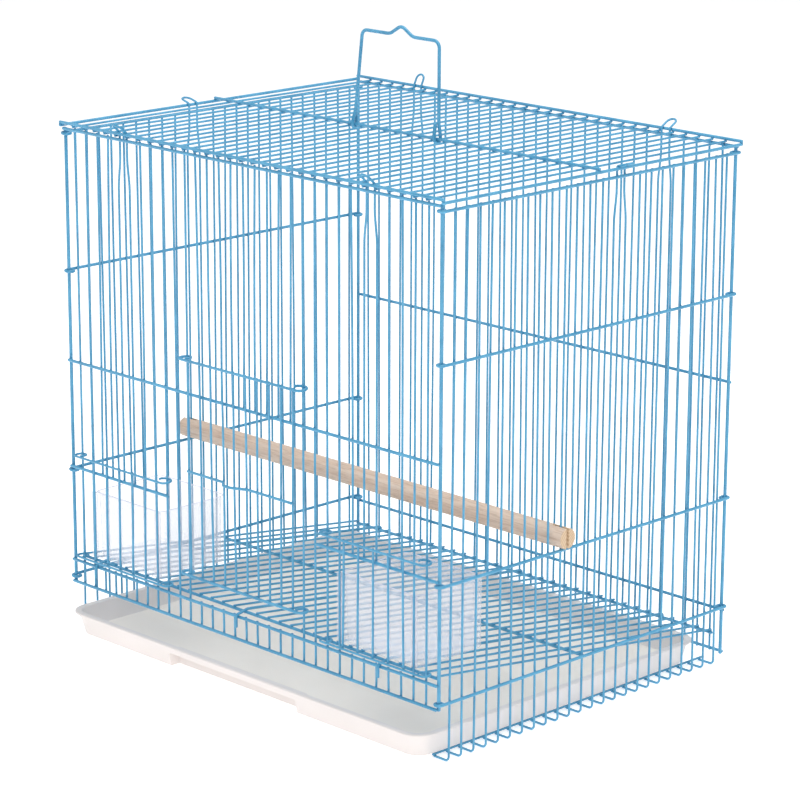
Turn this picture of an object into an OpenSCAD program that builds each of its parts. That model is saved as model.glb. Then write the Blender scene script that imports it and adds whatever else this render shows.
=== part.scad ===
// Small collapsible wire bird cage with a lift-up door, two feeder doors,
// two clip-in cups, a perch, a sloping floor grid and a slide-out tray.
// Millimetres. +Z is up, the doors face -Y.

/* [Cage] */
// Width between the corner posts
cage_w = 300; // [298:1:302]
// Depth between the corner posts
cage_d = 230; // [228:1:232]
// Height of the top cross wire on the front and back walls
wall_top_z = 300.3; // [298:0.1:302]
// Distance from one thin wire to the next
pitch = 9.4; // [9.2:0.1:9.5]

/* [Wire] */
// Thin wire diameter
thin_d = 1.3; // [1.1:0.1:1.4]
// Cross wire diameter
cross_d = 1.8; // [1.6:0.1:1.9]
// Corner post diameter
post_d = 2; // [1.8:0.1:2.2]
// How far two welded wires sink into each other
weld = 0.05; // [0.03:0.01:0.08]

/* [Doors] */
// Height of the main door's bottom rail as it stands
door_bottom_z = 60.5; // [58:0.5:62]
// Height of the main door's top rail as it stands
door_top_z = 185; // [183:0.5:187]
// Height of a feeder door's bottom rail
feeder_bottom_z = 48.6; // [48.4:0.1:49]
// Height of a feeder door's top rail
feeder_top_z = 109.4; // [108:0.1:111]
// Space left between a door's bars and the wires they pass
door_gap = 0.3; // [0.25:0.05:0.5]

/* [Handle] */
// Handle wire diameter
handle_d = 2; // [1.8:0.1:2.2]
// Running clearance of the handle's eyes on the wire they turn on
eye_clearance = 0.06; // [0.03:0.01:0.1]
// Height of the handle's grip
grip_z = 358; // [350:1:366]

/* [Perch] */
// Perch diameter
perch_d = 11.7; // [11:0.1:12.5]
// How far the perch stands out of each side wall
perch_out = 6; // [5:0.5:8]
// Width of the slot that straddles a side wire
perch_slot = 2; // [1.9:0.1:2.4]

/* [Cups] */
// Cup width
cup_w = 60; // [58:1:61]
// Cup depth
cup_d = 51; // [45:1:55]
// Cup height
cup_h = 39.5; // [35:0.5:42]
// Cup wall
cup_wall = 1.5; // [1.2:0.1:2]

/* [Tray] */
// Height of the tray's rim above the ground
tray_rim_z = 16.5; // [15:0.1:16.6]
// How far the tray stands out at the front
tray_out = 11; // [10.5:0.5:14]
// Tray wall
tray_wall = 1.6; // [1.4:0.1:2]

/* [Hidden] */
$fn = 48;

coating = "#5aaad7";
wood = "#c79a7e";
plastic = "#d8d6ea";
tray_white = "#ece6e2";

thin_r = thin_d / 2;
cross_r = cross_d / 2;
post_r = post_d / 2;
handle_r = handle_d / 2;
// A bend's bead, as a share of the wire
bead = 1.05;
// Wires that cross and are welded lie this far apart
cross_on_post = cross_r + post_r - weld;
thin_on_cross = cross_r + thin_r - weld;
thin_on_thin = thin_d - weld;

// Front and back walls: offsets outwards from the plane of the corner posts
wall_cross_out = cross_on_post;
wall_thin_out = wall_cross_out - thin_on_cross;
front_n = 31;
first_x = (cage_w - (front_n - 1) * pitch) / 2;
function upright_x(k) = first_x + pitch * (k - 1);
bottom_z = 31.2;
sill_z = 44.5;
feeder_wire_z = 101.5;
middle_z = 165;
upright_end = 0.8;
// The last wires that a feeder door runs on, and the main door's two
feeder_inner = 9;
door_left = 11;
door_right = front_n + 1 - door_left;
back_upper_z = 166;
back_lower_z = 31;
back_bottom_z = 6;

// Side walls: their cross wires end in rings round the corner posts
side_n = 24;
side_cross_out = 2.3;
side_thin_out = side_cross_out - thin_on_cross;
side_first_y = (cage_d - (side_n - 1) * pitch) / 2;
function side_y(k) = side_first_y + pitch * k;
side_top_z = 297.5;
side_upper_z = 217.5;
side_lower_z = 99;
side_bottom_z = 34;
ring_pull = side_cross_out - cross_r - post_r + 0.02;
foot_bend = 2.5;
foot_z = thin_r;
rail_in = 9.5;
rail_z = foot_z + thin_on_thin;

// Top panel, snapped under the six clip loops
top_thin_z = wall_top_z + 1.85;
top_long_z = top_thin_z + thin_on_cross;
top_edge_z = top_long_z - cross_d + weld;
panel_out = 1.9;
side_panel_out = side_thin_out + panel_out - wall_thin_out;
upright_top_z = top_thin_z - thin_r + 0.02;

// Clip loops
clip_start_z = 272;
clip_half = 3;
clip_wrap = panel_out - wall_thin_out;
clip_straight = 4;
front_clips = [[5, 50], [26, 47]];
back_clips = [[5, 26], [26, 60]];
left_clip_k = 9;
right_clip_k = 13;
side_lean = 75;
function clip_reach(lean) = (clip_straight + clip_half) * sin(lean) - clip_wrap * cos(lean) + thin_r;

// Floor grid, hooked over the sill wire and sloping down to the back
floor_front = [3.5, 46.2];
floor_back = [226, 17.9];
floor_slope = atan2(floor_front[1] - floor_back[1], floor_back[0] - floor_front[0]);
floor_len = (floor_back[0] - floor_front[0]) / cos(floor_slope);
floor_n = 32;
floor_first_x = (cage_w - (floor_n - 1) * pitch) / 2;
hook_index = [2, 15, 27];
hook_r = 0.8;
hook_wrap = cross_r + hook_r + 0.1;
hook_low_z = 38.5;

// Handle
handle_y = cage_d / 2;
handle_left = (upright_x(12) + upright_x(13)) / 2;
handle_right = cage_w - handle_left;
eye_r = cross_r + eye_clearance + handle_r;

// Doors
door_bar_out = wall_cross_out + cross_r + door_gap + thin_r;
door_rail_r = 0.8;
door_pull = 4.5;
door_eye_r = 3.2;
door_eye_turn = 302;
door_bar_n = 10;
door_middle_z = 121.5;
door_bar_first = upright_x(door_left) + pitch / 2;
feeder_bar_n = 5;
feeder_bar_pitch = 11.4;
feeder_mid_x = upright_x((1 + feeder_inner) / 2);

// Perch
perch_y = side_y(left_clip_k);
perch_z = side_lower_z + cross_r + 0.35 + perch_d / 2;
perch_slot_deep = 10.4;

// Cups
cup_z = 49.5;
cup_y = 0.75;
cup_mid_x = upright_x(5);
channel_r = 2.1;
channel_bore = 0.95;
channel_front = -0.55;
left_channel_x = upright_x(2);
right_channel_x = upright_x(8);

// Tray
tray_back = 217;
tray_in = 4;
tray_z = rail_z + thin_r + 0.3;
tray_corner = 10;
tray_draft = 3;
rim_lip = 2;
rim_t = 1.4;
pull_x = [92, 197];
pull_deep = 9;
pull_top_z = 11;

// The whole cage stands with the middle of its box over the origin
cage_back = cage_d + panel_out + clip_reach(back_clips[1][1]);
middle_y = (cage_back - tray_out) / 2;

module place() {
    translate([-cage_w / 2, -middle_y, 0]) children();
}

module wire_x(x0, x1, y, z, r) {
    translate([x0, y, z]) rotate([0, 90, 0]) cylinder(r = r, h = x1 - x0);
}

module wire_y(x, y0, y1, z, r) {
    translate([x, y0, z]) rotate([-90, 0, 0]) cylinder(r = r, h = y1 - y0);
}

module wire_z(x, y, z0, z1, r) {
    translate([x, y, z0]) cylinder(r = r, h = z1 - z0);
}

// Part of a ring in the XY plane, from angle a0 on through angle a
module bend(a0, a, bend_r, r) {
    rotate([0, 0, a0]) rotate_extrude(angle = a) translate([bend_r, 0]) circle(r = r);
}

function unit(v) = v / norm(v);

module rod(p, q, r, short_p, short_q) {
    v = q - p;
    run = norm(v);
    translate(p) rotate([0, acos(v[2] / run), atan2(v[1], v[0])]) translate([0, 0, short_p])
        cylinder(r = r, h = run - short_p - short_q);
}

// The ball at a bend, turned so that its poles and its seam stay clear of both rods:
// u is the way into the bend and v the way out of it
module bead_at(p, u, v, r) {
    spare = abs(u[2]) > 0.7 ? [1, 0, 0] : [0, 0, 1];
    pole = norm(cross(u, v)) > 0.01 ? cross(u, v) : cross(u, spare);
    z = pole / norm(pole);
    side = norm(u - v) > 0.01 ? u - v : cross(u, z);
    x = side / norm(side);
    y = cross(z, x);
    multmatrix([[x[0], y[0], z[0], p[0]], [x[1], y[1], z[1], p[1]], [x[2], y[2], z[2], p[2]]])
        sphere(r = bead * r);
}

// A bent wire through the points of p: straight rods that meet in beads
// a little fatter than the wire, so that every bend is one clean solid
module wire_path(p, r) {
    last = len(p) - 1;
    short = 0.12 * r;
    for (i = [0 : last - 1]) rod(p[i], p[i + 1], r, i == 0 ? 0 : short, i == last - 1 ? 0 : short);
    for (i = [1 : last - 1]) bead_at(p[i], unit(p[i] - p[i - 1]), unit(p[i + 1] - p[i]), r);
}

// The same for points in the XY plane
module flat_wire(p, r) {
    wire_path([for (q = p) [q[0], q[1], 0]], r);
}

// Rounds corner i of the flat path p at radius b[i], in steps of at most 20 degrees
function heading(p, q) = atan2(q[1] - p[1], q[0] - p[0]);
function wrapped(a) = a > 180 ? a - 360 : a < -180 ? a + 360 : a;
function turn(p, i) = wrapped(heading(p[i], p[i + 1]) - heading(p[i - 1], p[i]));
function corner(p, b, i) =
    let (
        a = heading(p[i - 1], p[i]),
        t = turn(p, i),
        ahead = [cos(a), sin(a)],
        inward = [-sin(a), cos(a)] * sign(t),
        start = p[i] - b[i] * tan(abs(t) / 2) * ahead,
        steps = ceil(abs(t) / 20)
    )
    [
        for (k = [0 : steps])
            let (w = abs(t) * k / steps) start + b[i] * (inward + sin(w) * ahead - cos(w) * inward)
    ];
function rounded(p, b) = [p[0], for (i = [1 : len(p) - 2]) each corner(p, b, i), p[len(p) - 1]];

// Stands a shape drawn in the XY plane up, so that its Y becomes Z
module upright_plane(y) {
    translate([0, y, 0]) rotate([90, 0, 0]) children();
}

// ---- front and back walls ----

module wall_cross_wire(y, z, x0, x1) {
    wire_x(x0, x1, y, z, cross_r);
}

// Where upright k of the front wall starts: feeder and door openings cut some short
function is_feeder_gap(k) = (k > 2 && k < 8) || (k > front_n - 7 && k < front_n - 1);
function is_door_gap(k) = k > door_left && k < door_right;
function front_low_z(k) = is_feeder_gap(k) ? feeder_wire_z : is_door_gap(k) ? middle_z : bottom_z;
function is_clip(k, clips) = len([for (c = clips) if (k == c[0] || k == c[0] + 1) k]) > 0;

module front_corner_posts() color(coating) place() {
    for (x = [0, cage_w]) wire_z(x, 0, bottom_z - 1.2, wall_top_z + 0.7, post_r);
}

module front_uprights() color(coating) place() {
    for (k = [1 : front_n]) {
        top_z = is_clip(k, front_clips) ? clip_start_z : upright_top_z;
        wire_z(upright_x(k), -wall_thin_out, front_low_z(k) - upright_end, top_z, thin_r);
        if (is_feeder_gap(k) || is_door_gap(k))
            wire_z(upright_x(k), -wall_thin_out, bottom_z - upright_end, sill_z + upright_end, thin_r);
    }
}

module front_cross(z) {
    wall_cross_wire(-wall_cross_out, z, -0.5, cage_w + 0.5);
}

module front_top_wire() color(coating) place() front_cross(wall_top_z);

module front_middle_wire() color(coating) place() front_cross(middle_z);

module front_feeder_wires() color(coating) place() {
    inner = upright_x(feeder_inner) + 3;
    wall_cross_wire(-wall_cross_out, feeder_wire_z, -0.5, inner);
    wall_cross_wire(-wall_cross_out, feeder_wire_z, cage_w - inner - 4.4, cage_w + 0.5);
}

module front_sill_wire() color(coating) place() front_cross(sill_z);

module front_bottom_wire() color(coating) place() front_cross(bottom_z);

// One half of a clip loop: up the leg, round the top panel's edge wire and out
// to the tip. The leg is at y = -leg_out and the edge wire at height wrap_z
function clip_half_path(leg_out, wrap_z, lean) =
    let (
        edge = [clip_half, -leg_out - clip_wrap, wrap_z],
        away = [0, -sin(lean), cos(lean)],
        turned = edge + clip_wrap * [0, cos(lean), sin(lean)],
        loop = [0, turned[1], turned[2]] + clip_straight * away,
        steps = max(1, floor(lean / 25))
    )
    [
        [pitch / 2, -leg_out, clip_start_z],
        [pitch / 2, -leg_out, clip_start_z + 6],
        [clip_half, -leg_out, wrap_z - 13],
        [clip_half, -leg_out, wrap_z],
        for (k = [1 : steps]) edge + clip_wrap * [0, cos(lean * k / steps), sin(lean * k / steps)],
        for (k = [0 : 3]) loop + clip_half * (cos(22.5 * k) * [1, 0, 0] + sin(22.5 * k) * away),
        loop + clip_half * away
    ];

// Two wires that close up and turn over the top panel's edge wire, in one piece
module clip_loop(leg_out, wrap_z, lean) {
    half = clip_half_path(leg_out, wrap_z, lean);
    back = [for (i = [len(half) - 2 : -1 : 0]) [-half[i][0], half[i][1], half[i][2]]];
    wire_path(concat(half, back), thin_r);
}

module front_clip_loops() color(coating) place() {
    for (c = front_clips)
        translate([upright_x(c[0] + 0.5), 0, 0]) clip_loop(wall_thin_out, top_long_z, c[1]);
}

module back_clip_loops() color(coating) place() {
    for (c = back_clips)
        translate([upright_x(c[0] + 0.5), cage_d, 0]) rotate([0, 0, 180])
            clip_loop(wall_thin_out, top_long_z, c[1]);
}

module back_corner_posts() color(coating) place() {
    for (x = [0, cage_w]) wire_z(x, cage_d, back_bottom_z - 1.2, wall_top_z + 0.7, post_r);
}

module back_uprights() color(coating) place() {
    for (k = [1 : front_n]) {
        top_z = is_clip(k, back_clips) ? clip_start_z : upright_top_z;
        wire_z(upright_x(k), cage_d + wall_thin_out, back_bottom_z - upright_end, top_z, thin_r);
    }
}

module back_cross(z) {
    wall_cross_wire(cage_d + wall_cross_out, z, -0.5, cage_w + 0.5);
}

module back_top_wire() color(coating) place() back_cross(wall_top_z);

module back_upper_wire() color(coating) place() back_cross(back_upper_z);

module back_lower_wire() color(coating) place() back_cross(back_lower_z);

module back_bottom_wire() color(coating) place() back_cross(back_bottom_z);

// ---- side walls ----

// Mirrors the left wall onto the right one
module side(right) {
    if (right) translate([cage_w, 0, 0]) mirror([1, 0, 0]) children();
    else children();
}

module side_uprights(clip_k) {
    for (k = [0 : side_n - 1]) {
        top_z = (k == clip_k || k == clip_k + 1) ? clip_start_z : side_top_z + upright_end;
        wire_z(-side_thin_out, side_y(k), foot_z + foot_bend, top_z, thin_r);
    }
}

module side_feet() {
    for (k = [0 : side_n - 1]) upright_plane(side_y(k)) {
        translate([foot_bend - side_thin_out, foot_z + foot_bend, 0]) bend(180, 90, foot_bend, thin_r);
        translate([foot_bend - side_thin_out, foot_z, 0]) rotate([0, 90, 0])
            cylinder(r = thin_r, h = rail_in + side_thin_out - foot_bend + 1);
    }
}

module side_rail() {
    wire_y(rail_in, side_y(0) - 2, side_y(side_n - 1) + 2, rail_z, thin_r);
}

// A cross wire along a side wall, its ends curled round the two corner posts
module side_cross(z) {
    y0 = ring_pull;
    y1 = cage_d - ring_pull;
    wire_y(-side_cross_out, y0 + 0.1, y1 - 0.1, z, cross_r);
    translate([0, y0, z]) bend(183, 287, side_cross_out, cross_r);
    translate([0, y1, z]) bend(-110, 287, side_cross_out, cross_r);
    for (y = [y0, y1]) translate([-side_cross_out, y, z]) sphere(r = bead * cross_r);
}

module side_clip(k) {
    translate([0, side_y(k + 0.5), 0]) rotate([0, 0, -90]) clip_loop(side_thin_out, top_edge_z, side_lean);
}

module left_uprights() color(coating) place() side_uprights(left_clip_k);

module left_feet() color(coating) place() side_feet();

module left_rail() color(coating) place() side_rail();

module left_top_wire() color(coating) place() side_cross(side_top_z);

module left_upper_wire() color(coating) place() side_cross(side_upper_z);

module left_lower_wire() color(coating) place() side_cross(side_lower_z);

module left_bottom_wire() color(coating) place() side_cross(side_bottom_z);

module left_clip_loop() color(coating) place() side_clip(left_clip_k);

module right_uprights() color(coating) place() side(true) side_uprights(right_clip_k);

module right_feet() color(coating) place() side(true) side_feet();

module right_rail() color(coating) place() side(true) side_rail();

module right_top_wire() color(coating) place() side(true) side_cross(side_top_z);

module right_upper_wire() color(coating) place() side(true) side_cross(side_upper_z);

module right_lower_wire() color(coating) place() side(true) side_cross(side_lower_z);

module right_bottom_wire() color(coating) place() side(true) side_cross(side_bottom_z);

module right_clip_loop() color(coating) place() side(true) side_clip(right_clip_k);

// ---- top panel ----

module top_long_wires() color(coating) place() {
    end = side_panel_out + cross_r;
    for (y = [-panel_out, handle_y, cage_d + panel_out]) wire_x(-end, cage_w + end, y, top_long_z, cross_r);
}

module top_edge_wires() color(coating) place() {
    end = panel_out + cross_r;
    for (x = [-side_panel_out, cage_w + side_panel_out])
        wire_y(x, -end, cage_d + end, top_edge_z, cross_r);
}

module top_thin_wires() color(coating) place() {
    end = panel_out + 0.7;
    for (k = [1 : front_n]) wire_y(upright_x(k), -end, cage_d + end, top_thin_z, thin_r);
}

// ---- floor grid ----

module floor_frame() {
    translate([0, floor_front[0], floor_front[1]]) rotate([-floor_slope, 0, 0]) children();
}

module floor_long_wires() color(coating) place() floor_frame() {
    for (y = [0, floor_len / 2, floor_len]) wire_x(2.8, cage_w - 2.8, y, 0, cross_r);
}

module floor_thin_wires() color(coating) place() floor_frame() {
    for (k = [0 : floor_n - 1])
        if (len(search(k, hook_index)) == 0)
            wire_y(floor_first_x + pitch * k, -1.4, floor_len + 1.4, thin_on_cross, thin_r);
}

// The hook wires lie on the grid and turn down over the sill wire
module floor_hook_wires() color(coating) place() {
    lift = (cross_r + hook_r - weld) * [sin(floor_slope), cos(floor_slope)];
    sill = [-wall_cross_out, sill_z];
    path = concat(
        rounded([floor_back + lift, floor_front + lift, sill + [0, hook_wrap]], [0, 6, 0]),
        [for (k = [1 : 4]) sill + hook_wrap * [-sin(22.5 * k), cos(22.5 * k)]],
        [[sill[0] - hook_wrap, hook_low_z]]
    );
    for (k = hook_index)
        translate([floor_first_x + pitch * k, 0, 0]) wire_path([for (q = path) [0, q[0], q[1]]], hook_r);
}

// ---- handle ----

module handle() color(coating) place() {
    eye_z = top_long_z;
    crown = (handle_left + handle_right) / 2 + 4;
    for (x = [handle_left, handle_right]) translate([x, handle_y, eye_z]) rotate([0, 90, 0])
        bend(0, 360, eye_r, handle_r);
    upright_plane(handle_y)
        flat_wire(rounded([[handle_left, eye_z + eye_r], [123, grip_z], [crown - 9, grip_z],
            [crown, grip_z + 5.6], [crown + 9, grip_z], [183.5, grip_z], [handle_right, eye_z + eye_r]],
            [0, 4, 8, 5, 8, 4, 0]), 0.97 * handle_r);
}

// ---- doors ----

// A door rail from x0 to x1 whose ends curl round the wires that guide it, with a bead at each curl's start
function rail_out(r) = door_bar_out + thin_r + r - weld;

module door_rail(x0, x1, z, r) {
    y = -rail_out(r);
    turn = door_eye_turn - 2.5;
    wire_x(x0 + 0.1, x1 - 0.1, y, z, r);
    translate([x0, y + door_eye_r, z]) bend(267.5 - turn, turn, door_eye_r, r);
    translate([x1, y + door_eye_r, z]) bend(272.5, turn, door_eye_r, r);
    for (x = [x0, x1]) translate([x, y, z]) rotate([0, 0, 90]) sphere(r = bead * r);
}

module main_door_bars() color(coating) place() {
    for (k = [0 : door_bar_n - 1])
        wire_z(door_bar_first + pitch * k, -door_bar_out, door_bottom_z - 0.7, door_top_z + 0.7, thin_r);
}

// The middle rail is bent forwards at the fifth bar, as a finger pull
module main_door_rails() color(coating) place() {
    r = door_rail_r;
    y = -rail_out(r);
    for (z = [door_bottom_z, door_top_z]) door_rail(upright_x(door_left), upright_x(door_right), z, r);
    pull_x = door_bar_first + pitch * 4;
    last_x = door_bar_first + pitch * (door_bar_n - 1);
    translate([0, 0, door_middle_z])
        flat_wire(rounded([[door_bar_first - 0.8, y], [pull_x - 8, y], [pull_x - 3, y - door_pull],
            [pull_x + 2.5, y - door_pull], [pull_x + 12, y], [last_x + 0.8, y]], [0, 2, 2, 3, 4, 0]), r);
}

module feeder_bars() {
    for (k = [0 : feeder_bar_n - 1])
        wire_z(feeder_mid_x - 0.8 + feeder_bar_pitch * (k - (feeder_bar_n - 1) / 2), -door_bar_out,
            feeder_bottom_z - 0.7, feeder_top_z + 0.7, thin_r);
}

module feeder_rails() {
    for (z = [feeder_bottom_z, feeder_top_z]) door_rail(upright_x(1), upright_x(feeder_inner), z, thin_r);
}

// The right feeder door runs on wires 23 and 31
module right_feeder() {
    translate([cage_w, 0, 0]) mirror([1, 0, 0]) children();
}

module left_feeder_bars() color(coating) place() feeder_bars();

module left_feeder_rails() color(coating) place() feeder_rails();

module right_feeder_bars() color(coating) place() right_feeder() feeder_bars();

module right_feeder_rails() color(coating) place() right_feeder() feeder_rails();

// ---- perch ----

module perch() color(wood) place() difference() {
    wire_x(-perch_out, cage_w + perch_out, perch_y, perch_z, perch_d / 2);
    for (x = [-perch_out - 1, cage_w + perch_out - perch_slot_deep])
        translate([x, perch_y - perch_slot / 2, perch_z - perch_d])
            cube([perch_slot_deep + 1, perch_slot, 2 * perch_d]);
}

// ---- cups ----

// Outline of a w by d rectangle, from its front left corner, with corners of radius r
function round_outline(w, d, r, steps = 6) = [
    for (c = [[w - r, r, -90], [w - r, d - r, 0], [r, d - r, 90], [r, r, 180]])
        for (s = [0 : steps]) [c[0] + r * cos(c[2] + 90 * s / steps), c[1] + r * sin(c[2] + 90 * s / steps)]
];

module round_block(x, y, z, w, d, h, r) {
    translate([x, y, z]) linear_extrude(h) polygon(round_outline(w, d, r));
}

// An open cup that slides on two uprights by the channels at its front corners
module cup() color(plastic) place() {
    x = cup_mid_x - cup_w / 2;
    difference() {
        union() {
            round_block(x, cup_y, cup_z, cup_w, cup_d, cup_h, 5);
            for (cx = [left_channel_x, right_channel_x])
                wire_z(cx, -wall_thin_out, cup_z, cup_z + cup_h, channel_r);
        }
        round_block(x + cup_wall, cup_y + cup_wall, cup_z + cup_wall, cup_w - 2 * cup_wall,
            cup_d - 2 * cup_wall, cup_h, 3.5);
        for (cx = [left_channel_x, right_channel_x])
            wire_z(cx, -wall_thin_out, cup_z - 1, cup_z + cup_h + 1, channel_bore);
        translate([x - 10, channel_front - 10, cup_z - 1]) cube([cup_w + 20, 10, cup_h + 2]);
    }
}

module left_cup() cup();

module right_cup() mirror([1, 0, 0]) cup();

// ---- tray ----

// The tray's solid outline, drawn in at its foot by the walls' draft
module tray_form(inset, z0, z1) {
    w = cage_w - 2 * tray_in - 2 * rim_lip;
    d = tray_back + tray_out - 2 * rim_lip;
    in_bottom = inset + tray_draft;
    translate([tray_in + rim_lip, rim_lip - tray_out, 0]) hull() {
        translate([in_bottom, in_bottom, z0]) linear_extrude(0.01)
            polygon(round_outline(w - 2 * in_bottom, d - 2 * in_bottom, tray_corner - inset));
        translate([inset, inset, z1 - 0.01]) linear_extrude(0.01)
            polygon(round_outline(w - 2 * inset, d - 2 * inset, tray_corner - inset));
    }
}

module tray() color(tray_white) place() difference() {
    union() {
        tray_form(0, tray_z, tray_rim_z);
        round_block(tray_in, -tray_out, tray_rim_z - rim_t, cage_w - 2 * tray_in, tray_back + tray_out,
            rim_t, tray_corner + rim_lip);
    }
    difference() {
        tray_form(tray_wall, tray_z + tray_wall, tray_rim_z + 1);
        translate([pull_x[0] - tray_wall, -tray_out, tray_z])
            cube([pull_x[1] - pull_x[0] + 2 * tray_wall, pull_deep + rim_lip + tray_wall,
                pull_top_z - tray_z + tray_wall]);
    }
    translate([pull_x[0], -tray_out - 1, tray_z - 1])
        cube([pull_x[1] - pull_x[0], pull_deep + rim_lip + 1, pull_top_z - tray_z + 1]);
}

front_corner_posts();
front_uprights();
front_top_wire();
front_middle_wire();
front_feeder_wires();
front_sill_wire();
front_bottom_wire();
front_clip_loops();
back_corner_posts();
back_uprights();
back_top_wire();
back_upper_wire();
back_lower_wire();
back_bottom_wire();
back_clip_loops();
left_uprights();
left_feet();
left_rail();
left_top_wire();
left_upper_wire();
left_lower_wire();
left_bottom_wire();
left_clip_loop();
right_uprights();
right_feet();
right_rail();
right_top_wire();
right_upper_wire();
right_lower_wire();
right_bottom_wire();
right_clip_loop();
top_long_wires();
top_edge_wires();
top_thin_wires();
floor_long_wires();
floor_thin_wires();
floor_hook_wires();
handle();
main_door_bars();
main_door_rails();
left_feeder_bars();
left_feeder_rails();
right_feeder_bars();
right_feeder_rails();
perch();
left_cup();
right_cup();
tray();
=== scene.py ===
"""A small folding bird cage in plastic-coated wire, with its doors, cups, perch, floor grid and tray."""

import math

import bpy
from mathutils import Euler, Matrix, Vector


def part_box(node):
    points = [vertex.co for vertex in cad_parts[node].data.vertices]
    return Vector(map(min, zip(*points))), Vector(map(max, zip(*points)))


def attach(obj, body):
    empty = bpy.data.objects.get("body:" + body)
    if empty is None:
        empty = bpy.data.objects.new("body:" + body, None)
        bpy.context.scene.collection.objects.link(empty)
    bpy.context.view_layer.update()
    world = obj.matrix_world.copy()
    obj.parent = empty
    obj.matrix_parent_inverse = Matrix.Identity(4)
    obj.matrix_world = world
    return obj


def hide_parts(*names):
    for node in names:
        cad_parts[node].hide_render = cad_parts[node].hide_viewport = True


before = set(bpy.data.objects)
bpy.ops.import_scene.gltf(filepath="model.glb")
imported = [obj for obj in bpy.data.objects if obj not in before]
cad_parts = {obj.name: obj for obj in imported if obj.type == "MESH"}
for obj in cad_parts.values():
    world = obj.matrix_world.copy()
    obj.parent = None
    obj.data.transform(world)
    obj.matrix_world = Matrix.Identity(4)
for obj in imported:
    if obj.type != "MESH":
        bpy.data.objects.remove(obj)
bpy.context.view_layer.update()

MM = 0.001
UP = Vector((0, 0, 1))


# ---------------------------------------------------------------- sizes, from the frame


def low(node):
    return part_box(node)[0]


def high(node):
    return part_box(node)[1]


def middle(node):
    return (low(node) + high(node)) / 2


thin_r = (high("front_uprights").y - low("front_uprights").y) / 2
cross_r = (high("front_top_wire").z - low("front_top_wire").z) / 2
post_r = (high("front_corner_posts").y - low("front_corner_posts").y) / 2
left_x = low("front_corner_posts").x + post_r
right_x = high("front_corner_posts").x - post_r
front_y = middle("front_corner_posts").y
back_y = middle("back_corner_posts").y

FRONT_COUNT = 31
first_x = low("front_uprights").x + thin_r
pitch = (high("front_uprights").x - thin_r - first_x) / (FRONT_COUNT - 1)
front_cross_y = middle("front_top_wire").y
front_thin_y = middle("front_uprights").y
back_cross_y = middle("back_top_wire").y
back_thin_y = middle("back_uprights").y
top_z = middle("front_top_wire").z
middle_z = middle("front_middle_wire").z
feeder_z = middle("front_feeder_wires").z
sill_z = middle("front_sill_wire").z
bottom_z = middle("front_bottom_wire").z
back_levels = [middle(n).z for n in ("back_bottom_wire", "back_lower_wire", "back_upper_wire", "back_top_wire")]
front_foot_z = low("front_uprights").z
back_foot_z = low("back_uprights").z
upright_top_z = high("back_uprights").z

SIDE_COUNT = 24
side_first_y = low("left_uprights").y + thin_r
side_thin_in = middle("left_uprights").x - left_x
side_cross_in = low("left_top_wire").x + cross_r - left_x
side_levels = [middle(n).z for n in ("left_bottom_wire", "left_lower_wire", "left_upper_wire", "left_top_wire")]
side_top_z = high("left_uprights").z
foot_z = low("left_feet").z + thin_r
foot_end_in = high("left_feet").x - left_x
rail_in = middle("left_rail").x - left_x
rail_z = middle("left_rail").z
foot_bend = low("left_uprights").z - foot_z

long_z = middle("top_long_wires").z
panel_front_y = low("top_long_wires").y + cross_r
panel_back_y = high("top_long_wires").y - cross_r
panel_mid_y = (panel_front_y + panel_back_y) / 2
edge_z = middle("top_edge_wires").z
edge_in = low("top_edge_wires").x + cross_r - left_x
top_thin_z = middle("top_thin_wires").z

FLOOR_COUNT = 32
floor_first_x = low("floor_thin_wires").x + thin_r
floor_front = Vector((0, low("floor_long_wires").y + cross_r, high("floor_long_wires").z - cross_r))
floor_back = Vector((0, high("floor_long_wires").y - cross_r, low("floor_long_wires").z + cross_r))
floor_along = (floor_back - floor_front).normalized()
floor_up = Vector((0, -floor_along.z, floor_along.y))
HOOK_WIRES = (2, 15, 27)

FEEDER_GUIDES = (1, 9)
DOOR_GUIDES = (11, 21)
FRONT_CLIPS = ((5, 50), (26, 47))
BACK_CLIPS = ((5, 26), (26, 60))
LEFT_CLIP = 9
RIGHT_CLIP = 13
SIDE_LEAN = 75
CLIP_HALF = 3 * MM
CLIP_STRAIGHT = 4 * MM
CLIP_TAPER = 19 * MM
CLIP_START_Z = low("front_clip_loops").z
clip_wrap = front_thin_y - panel_front_y


def upright_x(k):
    return first_x + pitch * (k - 1)


def side_y(k):
    return side_first_y + pitch * k


# ---------------------------------------------------------------- making pieces


def clear_selection():
    if bpy.context.object and bpy.context.object.mode != "OBJECT":
        bpy.ops.object.mode_set(mode="OBJECT")
    bpy.ops.object.select_all(action="DESELECT")


def make_active(piece):
    clear_selection()
    piece.select_set(True)
    bpy.context.view_layer.objects.active = piece


def settle(piece):
    """Leaves the piece's place in its mesh and its object at the origin."""
    make_active(piece)
    bpy.ops.object.transform_apply(location=True, rotation=True, scale=True)


def close_up(piece, smooth=50):
    """Merges doubles, turns faces outwards and shades the piece."""
    make_active(piece)
    bpy.ops.object.mode_set(mode="EDIT")
    bpy.ops.mesh.select_all(action="SELECT")
    bpy.ops.mesh.remove_doubles(threshold=0.002 * MM)
    bpy.ops.mesh.normals_make_consistent(inside=False)
    bpy.ops.object.mode_set(mode="OBJECT")
    bpy.ops.object.shade_smooth_by_angle(angle=math.radians(smooth))


def put_on(piece, name, body, material, nodes=()):
    piece.name = name
    piece.data.name = name
    piece.data.materials.clear()
    piece.data.materials.append(material)
    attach(piece, body)
    if nodes:
        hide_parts(*nodes)
    return piece


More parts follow.
